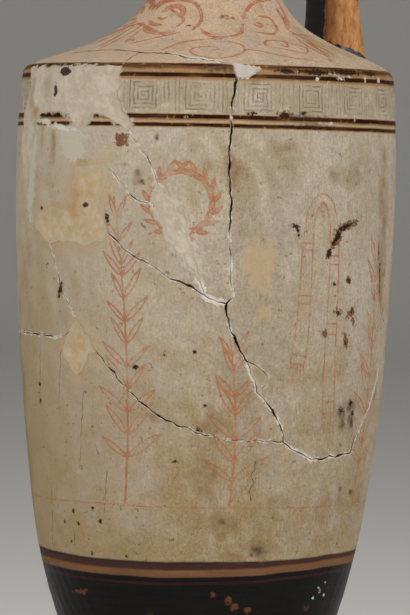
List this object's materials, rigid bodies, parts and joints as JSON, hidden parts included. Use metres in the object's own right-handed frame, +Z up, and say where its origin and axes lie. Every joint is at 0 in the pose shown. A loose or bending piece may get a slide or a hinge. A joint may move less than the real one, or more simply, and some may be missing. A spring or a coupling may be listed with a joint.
{
  "type": "lekythos",
  "caption": "Tall cylindrical oil vessel of painted clay with a sloping shoulder, slender neck, flaring mouth, strap handle and disc foot, mended from sherds and plaster fills.",
  "frame": {"origin": "centre of the standing ring, on the surface that the vessel stands on", "axes": "+Z up along the vessel's axis, +Y towards the handle, -Y towards the picture side"},
  "size_m": [0.1254, 0.1255, 0.379],
  "materials": {
    "white_ground": "matt cream slip over fired orange clay, black gloss at the foot of the body",
    "pale_plaster": "matt restoration plaster",
    "ochre_plaster": "matt restoration plaster toned ochre",
    "black_gloss": "black gloss slip, worn, over fired orange clay"
  },
  "bodies": {
    "root": {"back_sherd": "white_ground", "centre_sherd": "white_ground", "foot": "black_gloss", "handle": "black_gloss", "lower_body": "white_ground", "lower_plaster_fill": "pale_plaster", "mouth": "black_gloss", "narrow_sherd": "white_ground", "neck": "black_gloss", "ochre_fill": "ochre_plaster", "shoulder": "white_ground", "slanting_plaster_fill": "pale_plaster", "small_ochre_fill": "ochre_plaster", "upper_centre_sherd": "white_ground", "upper_plaster_fill": "pale_plaster", "wedge_plaster_fill": "pale_plaster"}
  },
  "joints": []
}
